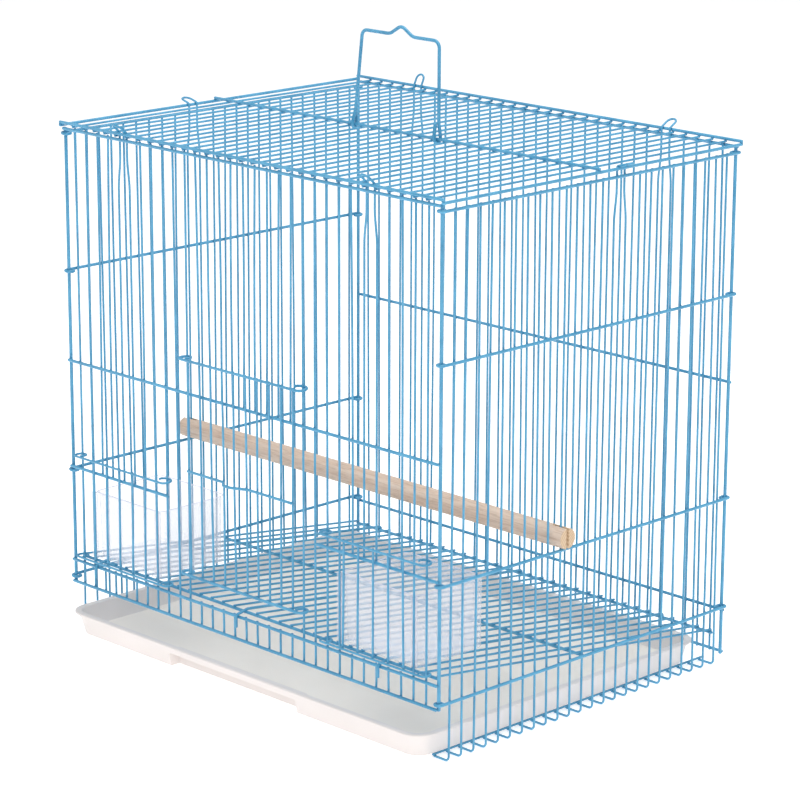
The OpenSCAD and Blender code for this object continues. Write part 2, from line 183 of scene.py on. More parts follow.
def domed(path, radius):
    """The path with its ends drawn in, so that the coating closes them in a small dome."""
    ring = (20, 45, 70, 90)
    first, last = Vector(path[0]), Vector(path[-1])
    ahead = (Vector(path[1]) - first).normalized()
    behind = (Vector(path[-2]) - last).normalized()
    start = [(first + ahead * radius * (1 - math.cos(math.radians(a))), math.sin(math.radians(a))) for a in ring]
    end = [(last + behind * radius * (1 - math.cos(math.radians(a))), math.sin(math.radians(a))) for a in ring]
    return start + [(Vector(p), 1) for p in path[1:-1]] + end[::-1]


def wires(name, paths, radius, body, nodes=(), sides=12):
    """One piece made of the wires that follow these paths."""
    clear_selection()
    bpy.ops.curve.primitive_bezier_curve_add()
    piece = bpy.context.object
    curve = piece.data
    curve.splines.clear()
    for path in paths:
        points = domed(path, radius)
        spline = curve.splines.new("POLY")
        spline.points.add(len(points) - 1)
        for point, (place, share) in zip(spline.points, points):
            point.co = (*place, 1)
            point.radius = share
    curve.dimensions = "3D"
    curve.bevel_depth = radius
    curve.bevel_resolution = (sides - 4) // 2
    curve.use_fill_caps = True
    bpy.ops.object.convert(target="MESH")
    piece = bpy.context.object
    close_up(piece)
    return put_on(piece, name, body, blue, nodes)


def arc(centre, start, side, radius, angle, steps, rise=0.0):
    """Points round centre, from the direction start towards side. rise lifts the arc as it goes."""
    points = []
    for i in range(steps + 1):
        a = math.radians(angle * i / steps)
        place = Vector(centre) + radius * (math.cos(a) * Vector(start) + math.sin(a) * Vector(side))
        points.append(place + UP * rise * i / steps)
    return points


TILT = 0.75 * MM
BOW = 0.55 * MM


def sway(seed, share):
    """How far a hand-bent wire stands off its true line, at this share of its height."""
    tilt = math.sin(seed * 12.9898)
    bow = math.sin(seed * 78.233)
    return TILT * tilt * (2 * share - 1) + BOW * bow * math.sin(math.pi * share)


def weld_spots(name, places, body, size=0.92):
    """Small pools of coating where wires cross, coloured a deeper blue as painted shade at the crossings: places are
    (point, axis of the crossing).
    """
    flat = 0.5
    clear_selection()
    bpy.ops.mesh.primitive_uv_sphere_add(segments=8, ring_count=5, radius=size * MM)
    master = bpy.context.object
    spots = []
    for place, axis in places:
        spot = master.copy()
        spot.data = master.data.copy()
        spot.location = place
        spot.scale = [flat if i == axis else 1 for i in range(3)]
        bpy.context.scene.collection.objects.link(spot)
        spots.append(spot)
    bpy.data.objects.remove(master)
    for spot in spots:
        spot.select_set(True)
    bpy.context.view_layer.objects.active = spots[0]
    bpy.ops.object.transform_apply(location=True, rotation=True, scale=True)
    bpy.ops.object.join()
    piece = bpy.context.object
    bpy.ops.object.shade_smooth()
    return put_on(piece, name, body, crossing_shade_blue)


# ---------------------------------------------------------------- materials


def new_material(name):
    material = bpy.data.materials.new(name)
    material.use_nodes = True
    nodes = material.node_tree.nodes
    return material, nodes, material.node_tree.links, nodes["Principled BSDF"]


def noise(nodes, links, scale, detail=2.0, stretch=(1, 1, 1)):
    place = nodes.new("ShaderNodeTexCoord")
    mapping = nodes.new("ShaderNodeMapping")
    mapping.inputs["Scale"].default_value = stretch
    texture = nodes.new("ShaderNodeTexNoise")
    texture.inputs["Scale"].default_value = scale
    texture.inputs["Detail"].default_value = detail
    links.new(place.outputs["Object"], mapping.inputs["Vector"])
    links.new(mapping.outputs["Vector"], texture.inputs["Vector"])
    return texture


def ramp(nodes, links, source, stops):
    node = nodes.new("ShaderNodeValToRGB")
    elements = node.color_ramp.elements
    while len(elements) < len(stops):
        elements.new(0.5)
    for element, (position, colour) in zip(elements, stops):
        element.position = position
        element.color = (*colour, 1)
    links.new(source, node.inputs["Fac"])
    return node


def bump(nodes, links, source, distance, strength=1.0):
    node = nodes.new("ShaderNodeBump")
    node.inputs["Distance"].default_value = distance
    node.inputs["Strength"].default_value = strength
    links.new(source, node.inputs["Height"])
    return node


def spread(nodes, links, source, lowest, highest):
    node = nodes.new("ShaderNodeMapRange")
    node.inputs["To Min"].default_value = lowest
    node.inputs["To Max"].default_value = highest
    links.new(source, node.inputs["Value"])
    return node


def coating(name, pale, deep):
    """Soft glossy plastic dipped over wire, a little uneven in thickness."""
    material, nodes, links, shader = new_material(name)
    patches = noise(nodes, links, 90, 3)
    shades = ramp(nodes, links, patches.outputs["Fac"], [(0.3, deep), (0.7, pale)])
    links.new(shades.outputs["Color"], shader.inputs["Base Color"])
    gloss = spread(nodes, links, patches.outputs["Fac"], 0.24, 0.42)
    links.new(gloss.outputs["Result"], shader.inputs["Roughness"])
    ripple = noise(nodes, links, 700, 2)
    surface = bump(nodes, links, ripple.outputs["Fac"], 0.06 * MM, 0.6)
    links.new(surface.outputs["Normal"], shader.inputs["Normal"])
    shader.inputs["IOR"].default_value = 1.5
    shader.inputs["Coat Weight"].default_value = 0.25
    shader.inputs["Coat Roughness"].default_value = 0.12
    return material


def dowel_wood():
    """Pale pinkish dowel with its grain along X."""
    material, nodes, links, shader = new_material("dowel_wood")
    streaks = noise(nodes, links, 260, 5, (0.03, 1, 1))
    colours = [(0.2, (0.62, 0.44, 0.33)), (0.5, (0.74, 0.57, 0.45)), (0.8, (0.82, 0.67, 0.55))]
    shades = ramp(nodes, links, streaks.outputs["Fac"], colours)
    flecks = noise(nodes, links, 1500, 3, (0.06, 1, 1))
    fleck_shades = ramp(nodes, links, flecks.outputs["Fac"], [(0.36, (0.78, 0.72, 0.68)), (0.5, (1, 1, 1))])
    mix = nodes.new("ShaderNodeMix")
    mix.data_type = "RGBA"
    mix.blend_type = "MULTIPLY"
    mix.inputs["Factor"].default_value = 0.8
    links.new(shades.outputs["Color"], mix.inputs[6])
    links.new(fleck_shades.outputs["Color"], mix.inputs[7])
    links.new(mix.outputs[2], shader.inputs["Base Color"])
    surface = bump(nodes, links, flecks.outputs["Fac"], 0.12 * MM, 0.5)
    links.new(surface.outputs["Normal"], shader.inputs["Normal"])
    shader.inputs["Roughness"].default_value = 0.62
    return material


def end_grain():
    """The dowel's sawn ends: paler, with growth rings."""
    material, nodes, links, shader = new_material("end_grain")
    place = nodes.new("ShaderNodeTexCoord")
    mapping = nodes.new("ShaderNodeMapping")
    mapping.inputs["Location"].default_value = (0, 0.012, -0.098)
    rings = nodes.new("ShaderNodeTexWave")
    rings.wave_type = "RINGS"
    rings.rings_direction = "X"
    rings.inputs["Scale"].default_value = 220
    rings.inputs["Distortion"].default_value = 3
    links.new(place.outputs["Object"], mapping.inputs["Vector"])
    links.new(mapping.outputs["Vector"], rings.inputs["Vector"])
    shades = ramp(nodes, links, rings.outputs["Fac"], [(0.0, (0.60, 0.42, 0.26)), (1.0, (0.78, 0.60, 0.42))])
    links.new(shades.outputs["Color"], shader.inputs["Base Color"])
    surface = bump(nodes, links, rings.outputs["Fac"], 0.1 * MM, 0.4)
    links.new(surface.outputs["Normal"], shader.inputs["Normal"])
    shader.inputs["Roughness"].default_value = 0.8
    return material


def clear_plastic(name, tint, thinnest, densest, painted_glow):
    """Clear moulded plastic with a faint lavender tint, denser where it is seen edge on. Its emission is a painted glow
    standing in for light passing through and scattering in the plastic.
    """
    material, nodes, links, shader = new_material(name)
    flow = noise(nodes, links, 60, 2)
    shades = ramp(nodes, links, flow.outputs["Fac"], [(0.3, [0.96 * c for c in tint]), (0.7, tint)])
    links.new(shades.outputs["Color"], shader.inputs["Base Color"])
    gloss = spread(nodes, links, flow.outputs["Fac"], 0.05, 0.14)
    links.new(gloss.outputs["Result"], shader.inputs["Roughness"])
    surface = bump(nodes, links, flow.outputs["Fac"], 0.2 * MM, 0.3)
    links.new(surface.outputs["Normal"], shader.inputs["Normal"])
    edge_on = nodes.new("ShaderNodeLayerWeight")
    edge_on.inputs["Blend"].default_value = 0.35
    density = spread(nodes, links, edge_on.outputs["Facing"], thinnest, densest)
    links.new(density.outputs["Result"], shader.inputs["Alpha"])
    shader.inputs["IOR"].default_value = 1.49
    # Painted glow: this emission stands in for light the plastic lets through and scatters.
    shader.inputs["Emission Color"].default_value = (0.97, 0.97, 1.0, 1)
    shader.inputs["Emission Strength"].default_value = painted_glow
    return material


def tray_plastic(name, pale, deep, grain, roughness, painted_glow=0.0):
    """Off-white moulding. Its inside has a fine spark-eroded grain. Any emission is a painted glow that lightens the
    shaded inside.
    """
    material, nodes, links, shader = new_material(name)
    cloud = noise(nodes, links, 25, 3)
    shades = ramp(nodes, links, cloud.outputs["Fac"], [(0.3, deep), (0.7, pale)])
    links.new(shades.outputs["Color"], shader.inputs["Base Color"])
    fine = noise(nodes, links, 1400, 2)
    surface = bump(nodes, links, fine.outputs["Fac"], grain * MM, 0.7)
    links.new(surface.outputs["Normal"], shader.inputs["Normal"])
    shader.inputs["Roughness"].default_value = roughness
    shader.inputs["Emission Color"].default_value = (*pale, 1)
    shader.inputs["Emission Strength"].default_value = painted_glow
    return material


blue = coating("blue_coating", (0.10, 0.40, 0.635), (0.05, 0.285, 0.49))
# Deeper blue for the weld spots: painted shade where the wires cross.
crossing_shade_blue = coating("weld_spot_painted_shade", (0.06, 0.30, 0.50), (0.03, 0.20, 0.37))
wood = dowel_wood()
sawn_wood = end_grain()
# The last argument is the painted glow: faint on the cups' walls, none on their rims and edge strips.
clear = clear_plastic("clear_plastic", (0.90, 0.90, 0.95), 0.14, 0.5, 0.04)
clear_edge = clear_plastic("clear_plastic_edge", (0.74, 0.74, 0.86), 0.6, 0.9, 0.0)
tray_white = tray_plastic("tray_white", (0.86, 0.80, 0.775), (0.82, 0.765, 0.735), 0.03, 0.36)
# Inner floor: the coarser grain is real, but the paler, warmer colour and faint glow are painted light over the shade
# the cage casts into the tray.
tray_floor_painted_light = tray_plastic("tray_grain_and_painted_light", (0.93, 0.87, 0.80), (0.89, 0.83, 0.76), 0.12, 0.55, 0.03)


# ---------------------------------------------------------------- clip loops


def clip_path(place, along, out, wrap_z, lean, foot_a, foot_b):
    """Up one upright, over the top panel's edge wire, round the tip and down the next upright.
    place is the middle of the pair in the wall's plane, along runs along the wall and out away from it."""
    along, out = Vector(along), Vector(out)
    angle = math.radians(lean)
    away = math.sin(angle) * out + math.cos(angle) * UP
    edge = Vector((place.x, place.y, wrap_z)) + clip_wrap * out
    turned = edge + clip_wrap * (-math.cos(angle) * out + math.sin(angle) * UP)
    tip = turned + CLIP_STRAIGHT * away

    def leg(side, foot):
        base = Vector((place.x, place.y, 0)) + side * pitch / 2 * along
        narrow = Vector((place.x, place.y, 0)) + side * CLIP_HALF * along
        rise = [base + UP * CLIP_START_Z]
        for i in range(1, 9):
            share = i / 8
            ease = share * share * (3 - 2 * share)
            rise.append(base.lerp(narrow, ease) + UP * (CLIP_START_Z + share * CLIP_TAPER))
        rise.append(narrow + UP * wrap_z)
        wrap = arc(edge + side * CLIP_HALF * along, -out, UP, clip_wrap, lean, 5)[1:]
        return foot + rise + wrap

    loop = arc(tip, along, away, CLIP_HALF, 180, 12)
    return leg(1, foot_a) + loop + leg(-1, foot_b)[::-1]


# ---------------------------------------------------------------- front and back walls


def upright(k, y, z0, z1, seed, amount=1.0):
    points = []
    for i in range(9):
        share = i / 8
        off = amount * sway(seed, share)
        points.append(Vector((upright_x(k) + off, y, z0 + (z1 - z0) * share)))
    return points


def cross(y, z, x0, x1):
    return [Vector((x0 + (x1 - x0) * i / 6, y, z)) for i in range(7)]


def is_feeder_gap(k):
    return 2 < k < 8 or FRONT_COUNT - 7 < k < FRONT_COUNT - 1


def is_door_gap(k):
    return DOOR_GUIDES[0] < k < DOOR_GUIDES[1]


def in_clip(k, clips):
    return any(k in (c[0], c[0] + 1) for c in clips)


STEADY = (1, 2, 8, 9, 11, 21, 23, 24, 30, 31)  # the uprights that carry cups, doors and corners stand true
STUB_SWAY = 0.25
front_paths, front_welds, clip_paths = [], [], []
for k in range(1, FRONT_COUNT + 1):
    start = feeder_z if is_feeder_gap(k) else middle_z if is_door_gap(k) else bottom_z
    start -= bottom_z - front_foot_z
    steady = k in STEADY or in_clip(k, FRONT_CLIPS)
    path = upright(k, front_thin_y, start, upright_top_z, k, 0 if steady else 1)
    if not in_clip(k, FRONT_CLIPS):
        front_paths.append(path)
    for z in (bottom_z, sill_z, feeder_z, middle_z, top_z):
        if z < start or (z == feeder_z and 9 < k < 23):
            continue
        off = 0 if steady else sway(k, (z - start) / (upright_top_z - start))
        x = upright_x(k) + off
        if in_clip(k, FRONT_CLIPS) and z == top_z:
            side = 1 if (k in (6, 27)) else -1
            x = upright_x(k) - side * (pitch / 2 - CLIP_HALF)
        front_welds.append(((x, front_cross_y + cross_r, z), 1))
    if is_feeder_gap(k) or is_door_gap(k):
        stub_top = sill_z + bottom_z - front_foot_z
        front_paths.append(upright(k, front_thin_y, front_foot_z, stub_top, k + 40, STUB_SWAY))
        for z in (bottom_z, sill_z):
            off = STUB_SWAY * sway(k + 40, (z - front_foot_z) / (stub_top - front_foot_z))
            front_welds.append(((upright_x(k) + off, front_cross_y + cross_r, z), 1))
for k, lean in FRONT_CLIPS:
    place = Vector((upright_x(k) + pitch / 2, front_thin_y, 0))
    feet = [[Vector((upright_x(n), front_thin_y, z)) for z in (feeder_z - 0.8 * MM, middle_z)] for n in (k + 1, k)]
    clip_paths.append(clip_path(place, (1, 0, 0), (0, -1, 0), long_z, lean, *feet))

wires("front_uprights_coated", front_paths, thin_r, "frame", ["front_uprights"])
wires("front_clip_wires", clip_paths, thin_r, "frame", ["front_clip_loops"])
front_top_ends = (low("front_top_wire").x, high("front_top_wire").x)
for node, z in (
    ("front_top_wire", top_z),
    ("front_middle_wire", middle_z),
    ("front_sill_wire", sill_z),
    ("front_bottom_wire", bottom_z),
):
    wires(node + "_coated", [cross(front_cross_y, z, *front_top_ends)], cross_r, "frame", [node], 16)
feeder_inner = upright_x(FEEDER_GUIDES[1]) + 3 * MM
feeder_outer = upright_x(FRONT_COUNT + 1 - FEEDER_GUIDES[1]) - 7.4 * MM
wires(
    "front_feeder_wires_coated",
    [
        cross(front_cross_y, feeder_z, front_top_ends[0], feeder_inner),
        cross(front_cross_y, feeder_z, feeder_outer, front_top_ends[1]),
    ],
    cross_r,
    "frame",
    ["front_feeder_wires"],
    16,
)


def posts(name, node, y):
    z0, z1 = low(node).z, high(node).z
    paths = [[Vector((x, y, z0 + (z1 - z0) * i / 6)) for i in range(7)] for x in (left_x, right_x)]
    wires(name, paths, post_r, "frame", [node], 16)


posts("front_posts_coated", "front_corner_posts", front_y)
posts("back_posts_coated", "back_corner_posts", back_y)

back_paths, back_welds, back_clip_paths = [], [], []
for k in range(1, FRONT_COUNT + 1):
    steady = in_clip(k, BACK_CLIPS)
    if not steady:
        back_paths.append(upright(k, back_thin_y, back_foot_z, upright_top_z, k + 100))
    for z in back_levels:
        off = 0 if steady else sway(k + 100, (z - back_foot_z) / (upright_top_z - back_foot_z))
        x = upright_x(k) + off
        if steady and z == back_levels[-1]:
            side = 1 if (k in (6, 27)) else -1
            x = upright_x(k) - side * (pitch / 2 - CLIP_HALF)
        back_welds.append(((x, back_cross_y - cross_r, z), 1))
for k, lean in BACK_CLIPS:
    place = Vector((upright_x(k) + pitch / 2, back_thin_y, 0))
    feet = [[Vector((upright_x(n), back_thin_y, z)) for z in (back_foot_z, middle_z)] for n in (k + 1, k)]
    back_clip_paths.append(clip_path(place, (1, 0, 0), (0, 1, 0), long_z, lean, *feet))
wires("back_uprights_coated", back_paths, thin_r, "frame", ["back_uprights"])
wires("back_clip_wires", back_clip_paths, thin_r, "frame", ["back_clip_loops"])
for node, z in zip(("back_bottom_wire", "back_lower_wire", "back_upper_wire", "back_top_wire"), back_levels):
    wires(node + "_coated", [cross(back_cross_y, z, *front_top_ends)], cross_r, "frame", [node], 16)

for x in (left_x, right_x):
    front_welds += [((x, front_cross_y + cross_r, z), 1) for z in (bottom_z, sill_z, feeder_z, middle_z, top_z)]
    back_welds += [((x, back_cross_y - cross_r, z), 1) for z in back_levels]
weld_spots("front_welds", front_welds, "frame")
weld_spots("back_welds", back_welds, "frame")


# ---------------------------------------------------------------- side walls


POST_CURL = 290
CURL_DROP = -0.5 * MM


def side_wall(name, wall_x, inwards, clip_k, steady_ks):
    """inwards is 1 on the left wall and -1 on the right one."""
    thin_x = wall_x + inwards * side_thin_in
    cross_x = wall_x + inwards * side_cross_in
    into = Vector((inwards, 0, 0))

    def foot(k):
        y = side_y(k)
        flat = [Vector((wall_x + inwards * foot_end_in, y, foot_z))]
        centre = Vector((thin_x, y, foot_z + foot_bend)) + into * foot_bend
        return flat + arc(centre, -UP, -into, foot_bend, 90, 5)

    paths, welds = [], []
    for k in range(SIDE_COUNT):
        seed = k + (200 if inwards > 0 else 300)
        steady = k in steady_ks or k in (clip_k, clip_k + 1)
        z0 = foot_z + foot_bend
        if k not in (clip_k, clip_k + 1):
            path = foot(k)
            for i in range(1, 9):
                share = i / 8
                off = 0 if steady else sway(seed, share) - sway(seed, 0)
                path.append(Vector((thin_x, side_y(k) + off, z0 + (side_top_z - z0) * share)))
            paths.append(path)
        for z in side_levels:
            off = 0 if steady else sway(seed, (z - z0) / (side_top_z - z0)) - sway(seed, 0)
            y = side_y(k) + off
            if k in (clip_k, clip_k + 1) and z == side_levels[-1]:
                y += (1 if k == clip_k else -1) * (pitch / 2 - CLIP_HALF)
            welds.append(((thin_x - inwards * (thin_r - 0.05 * MM), y, z), 0))
        welds.append(((wall_x + inwards * rail_in, side_y(k), foot_z + thin_r), 2))
    place = Vector((thin_x, side_y(clip_k) + pitch / 2, 0))
    clip = clip_path(place, (0, 1, 0), -into, edge_z, SIDE_LEAN, foot(clip_k + 1), foot(clip_k))
    nodes = [f"{name}_{part}" for part in ("uprights", "feet")]
    wires(f"{name}_bent_uprights", paths, thin_r, "frame", nodes)
    wires(f"{name}_clip_wire", [clip], thin_r, "frame", [f"{name}_clip_loop"])
    rail = [Vector((wall_x + inwards * rail_in, y, rail_z)) for y in (low(f"{name}_rail").y, high(f"{name}_rail").y)]
    wires(f"{name}_rail_coated", [rail], thin_r, "frame", [f"{name}_rail"])
    for level, z in zip(("bottom", "lower", "upper", "top"), side_levels):
        node = f"{name}_{level}_wire"
        ring = abs(side_cross_in)
        y0 = low(node).y + cross_r + ring
        y1 = high(node).y - cross_r - ring
        fore = arc((wall_x, y0, z), -into, (0, -1, 0), ring, POST_CURL, 16, CURL_DROP)
        rear = arc((wall_x, y1, z), -into, (0, 1, 0), ring, POST_CURL, 16, CURL_DROP)
        run = [Vector((cross_x, y0 + (y1 - y0) * i / 6, z)) for i in range(1, 6)]
        wires(node + "_coated", [fore[::-1] + run + rear], cross_r, "frame", [node], 16)
    weld_spots(f"{name}_welds", welds, "frame")


side_wall("left", left_x, 1, LEFT_CLIP, (9,))
side_wall("right", right_x, -1, RIGHT_CLIP, (9,))


# ---------------------------------------------------------------- top panel

panel_x = (low("top_long_wires").x, high("top_long_wires").x)
panel_y = (low("top_edge_wires").y, high("top_edge_wires").y)
thin_ends = (low("top_thin_wires").y, high("top_thin_wires").y)
wires(
    "top_long_wires_coated",
    [cross(y, long_z, *panel_x) for y in (panel_front_y, panel_mid_y, panel_back_y)],
    cross_r,
    "frame",
    ["top_long_wires"],
    16,
)
edges = [left_x + edge_in, right_x - edge_in]
wires(
    "top_edge_wires_coated",
    [[Vector((x, panel_y[0] + (panel_y[1] - panel_y[0]) * i / 6, edge_z)) for i in range(7)] for x in edges],
    cross_r,
    "frame",
    ["top_edge_wires"],
    16,
)
top_paths, top_welds = [], []
for k in range(1, FRONT_COUNT + 1):
    path = []
    for i in range(9):
        share = i / 8
        off = 0.6 * sway(k + 400, share)
        path.append(Vector((upright_x(k) + off, thin_ends[0] + (thin_ends[1] - thin_ends[0]) * share, top_thin_z)))
    top_paths.append(path)
    for y in (panel_front_y, panel_mid_y, panel_back_y):
        off = 0.6 * sway(k + 400, (y - thin_ends[0]) / (thin_ends[1] - thin_ends[0]))
        top_welds.append(((upright_x(k) + off, y, top_thin_z + thin_r), 2))
for x in edges:
    top_welds += [((x, y, edge_z + cross_r), 2) for y in (panel_front_y, panel_mid_y, panel_back_y)]
wires("top_thin_wires_coated", top_paths, thin_r, "frame", ["top_thin_wires"])
weld_spots("top_welds", top_welds, "frame")


# ---------------------------------------------------------------- floor grid

floor_x = (low("floor_long_wires").x, high("floor_long_wires").x)
floor_length = (floor_back - floor_front).length
floor_levels = [floor_front + floor_along * floor_length * share for share in (0, 0.5, 1)]
wires(
    "floor_long_wires_coated",
    [cross(p.y, p.z, *floor_x) for p in floor_levels],
    cross_r,
    "floor_grid",
    ["floor_long_wires"],
    16,
)
thin_lift = (thin_r + cross_r - 0.05 * MM) * floor_up
overhang = 1.4 * MM
floor_paths, floor_welds = [], []
for k in range(FLOOR_COUNT):
    x = Vector((floor_first_x + pitch * k, 0, 0))
    for p in floor_levels:
        floor_welds.append((x + p + floor_up * cross_r, 2))
    if k in HOOK_WIRES:
        continue
    path = []
    for i in range(9):
        share = i / 8
        off = Vector((0.7 * sway(k + 500, share), 0, 0))
        along = -overhang + (floor_length + 2 * overhang) * share
        path.append(x + floor_front + thin_lift + floor_along * along + off)
    floor_paths.append(path)
wires("floor_thin_wires_coated", floor_paths, thin_r, "floor_grid", ["floor_thin_wires"])
weld_spots("floor_welds", floor_welds, "floor_grid")

hook_r = (low("floor_hook_wires").x - floor_first_x - pitch * HOOK_WIRES[0]) * -1
hook_lift = (hook_r + cross_r - 0.05 * MM) * floor_up
hook_wrap = cross_r + hook_r + 0.1 * MM
HOOK_HANG = 6 * MM
hook_paths = []
for k in HOOK_WIRES:
    x = Vector((floor_first_x + pitch * k, 0, 0))
    sill = x + Vector((0, front_cross_y, sill_z))
    rear = x + floor_back + hook_lift
    curl = arc(x + floor_back, floor_up, floor_along, hook_r + cross_r + 0.02 * MM, 95, 6)
    over = arc(sill, UP, (0, -1, 0), hook_wrap, 90, 6)
    hang = Vector((sill.x, sill.y - hook_wrap, sill.z - HOOK_HANG))
    start = x + floor_front + hook_lift
    rise = [start + floor_along * 6 * MM, start + floor_along * 1 * MM - UP * 0.05 * MM]
    hook_paths.append(curl[::-1] + rise + over + [hang])
wires("floor_hook_wires_coated", hook_paths, hook_r, "floor_grid", ["floor_hook_wires"], 14)


# ---------------------------------------------------------------- handle

handle_r = (high("handle").y - low("handle").y) / 4 - (cross_r + 0.06 * MM) / 2
eye_r = (high("handle").y - low("handle").y) / 2 - handle_r
eye_left = upright_x(12) + pitch / 2
eye_right = right_x - (eye_left - left_x)
grip_z = low("handle").z + 57.31 * MM
shoulder_left = left_x + 123 * MM
shoulder_right = left_x + 183.5 * MM
crown_x = (eye_left + eye_right) / 2 + 4 * MM


def rounded(points, radii, steps=6):
    """The points with each inner corner turned on an arc of the radius given for it."""
    path = [Vector(points[0])]
    for a, b, c, radius in zip(points, points[1:], points[2:], radii):
        a, b, c = Vector(a), Vector(b), Vector(c)
        u, v = (b - a).normalized(), (c - b).normalized()
        angle = u.angle(v)
        cut = radius * math.tan(angle / 2)
        inward = (v - u * u.dot(v)).normalized()
        start = b - u * cut
        for i in range(steps + 1):
            w = angle * i / steps
            path.append(start + radius * (math.sin(w) * u + (1 - math.cos(w)) * inward))
    return path + [Vector(points[-1])]


def handle_leg(x, tail_side, top):
    """From the free end down to the top panel's middle wire, round it and up to the shoulder.
    tail_side is -1 where the free end stands in front of the leg and 1 where it stands behind."""
    eye = Vector((x, panel_mid_y, long_z))
    tail = eye + Vector((-1.2 * MM, tail_side * 0.9 * MM, 9 * MM))
    tail_low = eye + Vector((-1.1 * MM, tail_side * eye_r * 0.97, 2.2 * MM))
    turn = arc(eye, (0, tail_side, 0), (0, 0, -1), eye_r, 180, 10)
    for i, point in enumerate(turn):
        point.x -= 1.0 * MM * (1 - i / 10)
    neck = eye + Vector((0, -tail_side * eye_r * 0.9, 2.6 * MM))
    leg_low = eye.lerp(top, 0.16) - Vector((0, tail_side * 0.5 * MM, 0))
    return [tail, tail.lerp(tail_low, 0.6), tail_low] + turn + [neck, leg_low]


shoulders = [Vector((x, panel_mid_y, grip_z)) for x in (shoulder_left, shoulder_right)]
crown = [(crown_x - 9 * MM, 0), (crown_x, 5.5 * MM), (crown_x + 9 * MM, 0)]
left_leg = handle_leg(eye_left, 1, shoulders[0])
right_leg = handle_leg(eye_right, -1, shoulders[1])
grip = [left_leg[-1], shoulders[0]]
grip += [Vector((x, panel_mid_y, grip_z + rise)) for x, rise in crown]
grip += [shoulders[1], right_leg[-1]]
handle_path = left_leg[:-1] + rounded(grip, [4 * MM, 8 * MM, 5 * MM, 8 * MM, 4 * MM]) + right_leg[::-1][1:]
wires("carrying_handle", [handle_path], handle_r, "handle", ["handle"], 16)


# ---------------------------------------------------------------- doors


def door(name, body, nodes, guides, bar_xs, rail_zs, rail_r, middle_rail=None):
    """Bars on rails whose ends curl round the two guide uprights."""
    bar_node, rail_node = nodes
    bar_y = middle(bar_node).y
    rail_y = bar_y - thin_r - rail_r + 0.05 * MM
    eye_centre_y = rail_y + DOOR_EYE_R
    z0, z1 = low(bar_node).z, high(bar_node).z
    bars, welds = [], []
    for i, x in enumerate(bar_xs):
        seed = i + 600 + 20 * len(name)
        path = []
        for n in range(7):
            share = n / 6
            path.append(Vector((x + 0.8 * sway(seed, share), bar_y, z0 + (z1 - z0) * share)))
        bars.append(path)
        for z in rail_zs + ([middle_rail] if middle_rail else []):
            off = 0.8 * sway(seed, (z - z0) / (z1 - z0))
            if z != middle_rail or i != 4:
                welds.append(((x + off, rail_y + rail_r, z), 1))
    rails = []
    for z in rail_zs:
        left_rise, right_rise = (0.3 * MM, 0.5 * MM) if z == rail_zs[0] else (0.5 * MM, 1.8 * MM)
        left = arc((guides[0], eye_centre_y, z), (0, -1, 0), (-1, 0, 0), DOOR_EYE_R, DOOR_CURL, 18, left_rise)
        right = arc((guides[1], eye_centre_y, z), (0, -1, 0), (1, 0, 0), DOOR_EYE_R, DOOR_CURL, 18, right_rise)
        rails.append(left[::-1] + [Vector((sum(guides) / 2, rail_y, z))] + right)
    if middle_rail:
        pull_x, pull_y = bar_xs[4], rail_y - DOOR_PULL
        outline = [
            (bar_xs[0] - 0.8 * MM, rail_y),
            (pull_x - 8 * MM, rail_y),
            (pull_x - 3 * MM, pull_y),
            (pull_x + 2.5 * MM, pull_y),
            (pull_x + 12 * MM, rail_y),
            (bar_xs[-1] + 0.8 * MM, rail_y),
        ]
        points = [(x, y, middle_rail) for x, y in outline]
        rails.append(rounded(points, [2 * MM, 2 * MM, 3 * MM, 4 * MM], 5))
    wires(f"{name}_bars_coated", bars, thin_r, body, [bar_node])
    wires(f"{name}_rails_coated", rails, rail_r, body, [rail_node], 14)
    weld_spots(f"{name}_welds", welds, body, 0.75)


DOOR_EYE_R = 3.2 * MM
DOOR_CURL = 318
DOOR_PULL = 4.5 * MM
main_rail_r = 0.8 * MM
bars_low, bars_high = low("main_door_bars").x + thin_r, high("main_door_bars").x - thin_r
main_bars = [bars_low + (bars_high - bars_low) * i / 9 for i in range(10)]
main_rails = [low("main_door_rails").z + main_rail_r, high("main_door_rails").z - main_rail_r]
door(
    "main_door",
    "main_door",
    ("main_door_bars", "main_door_rails"),
    [upright_x(k) for k in DOOR_GUIDES],
    main_bars,
    main_rails,
    main_rail_r,
    main_rails[0] + 61 * MM,
)
for side in ("left", "right"):
    bars_node, rails_node = f"{side}_feeder_bars", f"{side}_feeder_rails"
    guides = [upright_x(k) for k in FEEDER_GUIDES]
    if side == "right":
        guides = [left_x + right_x - x for x in reversed(guides)]
    first, last = low(bars_node).x + thin_r, high(bars_node).x - thin_r
    door(
        f"{side}_feeder_door",
        f"{side}_feeder_door",
        (bars_node, rails_node),
        guides,
        [first + (last - first) * i / 4 for i in range(5)],
        [low(rails_node).z + thin_r, high(rails_node).z - thin_r],
        thin_r,
    )


# ---------------------------------------------------------------- perch


def cut(piece, tool, operation="DIFFERENCE"):
    """Cuts the tool's shape out of the piece, or adds it, and throws the tool away."""
    make_active(piece)
    modifier = piece.modifiers.new("cut", "BOOLEAN")
    modifier.operation = operation
    modifier.object = tool
    modifier.solver = "EXACT"
    bpy.ops.object.modifier_apply(modifier=modifier.name)
    bpy.data.objects.remove(tool)


def block(lowest, highest):
    """A box from one corner to the other."""
    clear_selection()
    size = Vector(highest) - Vector(lowest)
    bpy.ops.mesh.primitive_cube_add(size=1, location=(Vector(highest) + Vector(lowest)) / 2, scale=size)
    piece = bpy.context.object
    settle(piece)
    return piece


def soften(piece, width, segments=2, angle=35):
    """Rounds the piece's sharp edges."""
    make_active(piece)
    modifier = piece.modifiers.new("round", "BEVEL")
    modifier.width = width
    modifier.segments = segments
    modifier.limit_method = "ANGLE"
    modifier.angle_limit = math.radians(angle)
    modifier.harden_normals = False
    bpy.ops.object.modifier_apply(modifier=modifier.name)


